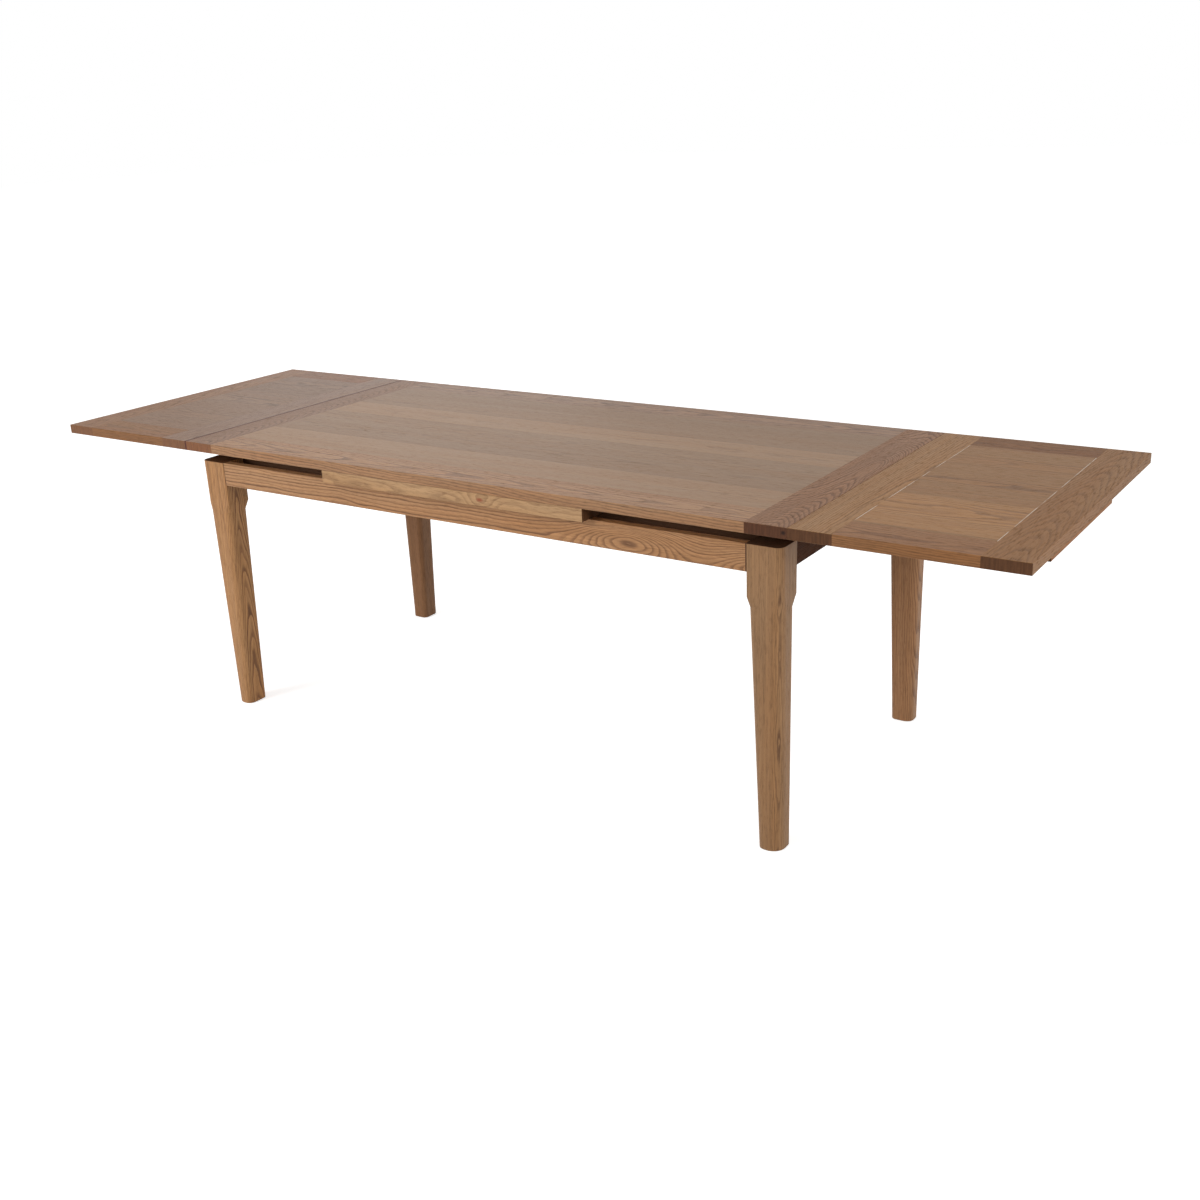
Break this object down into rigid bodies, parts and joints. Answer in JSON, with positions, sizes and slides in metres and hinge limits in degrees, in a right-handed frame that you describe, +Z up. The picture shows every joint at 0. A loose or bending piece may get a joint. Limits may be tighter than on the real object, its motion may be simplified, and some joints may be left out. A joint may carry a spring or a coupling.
{
  "type": "draw leaf table",
  "caption": "Rectangular oak draw leaf dining table with tapered legs, shown with both end leaves drawn out level with a lift-up main top over storage slots.",
  "frame": {"origin": "on the floor under the middle of the table", "axes": "+X along the table towards the right leaf, +Y to the back, +Z up"},
  "size_m": [2.795, 0.89, 0.775],
  "materials": {
    "oak_leg": "oiled",
    "oak_rail": "oiled",
    "oak_panel": "oiled",
    "beech_inner": "plain",
    "zinc_steel": "zinc plated",
    "felt_glide": "matt"
  },
  "bodies": {
    "underframe": {"corner_block_back_left": "beech_inner", "corner_block_back_right": "beech_inner", "corner_block_front_left": "beech_inner", "corner_block_front_right": "beech_inner", "corner_bolt_back_left": "zinc_steel", "corner_bolt_back_right": "zinc_steel", "corner_bolt_front_left": "zinc_steel", "corner_bolt_front_right": "zinc_steel", "cross_tie_left": "beech_inner", "cross_tie_right": "beech_inner", "end_apron_left": "oak_rail", "end_apron_right": "oak_rail", "glide_back_left": "felt_glide", "glide_back_right": "felt_glide", "glide_front_left": "felt_glide", "glide_front_right": "felt_glide", "guide_rail_left": "beech_inner", "guide_rail_right": "beech_inner", "leg_back_left": "oak_leg", "leg_back_right": "oak_leg", "leg_front_left": "oak_leg", "leg_front_right": "oak_leg", "runner_back_left": "beech_inner", "runner_back_right": "beech_inner", "runner_front_left": "beech_inner", "runner_front_right": "beech_inner", "side_apron_back": "oak_rail", "side_apron_front": "oak_rail", "spacer_rail_back": "oak_rail", "spacer_rail_front": "oak_rail"},
    "main_top": {"guide_peg_back_left": "beech_inner", "guide_peg_back_right": "beech_inner", "guide_peg_front_left": "beech_inner", "guide_peg_front_right": "beech_inner", "top_end_rail_left": "oak_rail", "top_end_rail_right": "oak_rail", "top_panel": "oak_panel", "top_side_rail_back": "oak_rail", "top_side_rail_front": "oak_rail"},
    "left_leaf": {"left_leaf_bearer_inner": "beech_inner", "left_leaf_bearer_outer": "beech_inner", "left_leaf_inner_rail": "oak_rail", "left_leaf_outer_rail": "oak_rail", "left_leaf_panel": "oak_panel", "left_leaf_pull": "oak_rail", "left_leaf_screws": "zinc_steel", "left_leaf_short_rail_a": "oak_rail", "left_leaf_short_rail_b": "oak_rail", "left_leaf_stop_inner": "beech_inner", "left_leaf_stop_outer": "beech_inner"},
    "right_leaf": {"right_leaf_bearer_inner": "beech_inner", "right_leaf_bearer_outer": "beech_inner", "right_leaf_inner_rail": "oak_rail", "right_leaf_outer_rail": "oak_rail", "right_leaf_panel": "oak_panel", "right_leaf_pull": "oak_rail", "right_leaf_screws": "zinc_steel", "right_leaf_short_rail_a": "oak_rail", "right_leaf_short_rail_b": "oak_rail", "right_leaf_stop_inner": "beech_inner", "right_leaf_stop_outer": "beech_inner"}
  },
  "joints": [
    {"name": "top_lift", "type": "slide", "parent": "underframe", "child": "main_top", "axis": [0, 0, 1], "range_m": [0, 0.034]},
    {"name": "right_leaf_draw", "type": "slide", "parent": "underframe", "child": "right_leaf", "axis": [0.9985, 0, 0.0539], "range_m": [0, 0.012]},
    {"name": "left_leaf_draw", "type": "slide", "parent": "underframe", "child": "left_leaf", "axis": [-0.9985, 0, 0.0539], "range_m": [0, 0.012]}
  ]
}
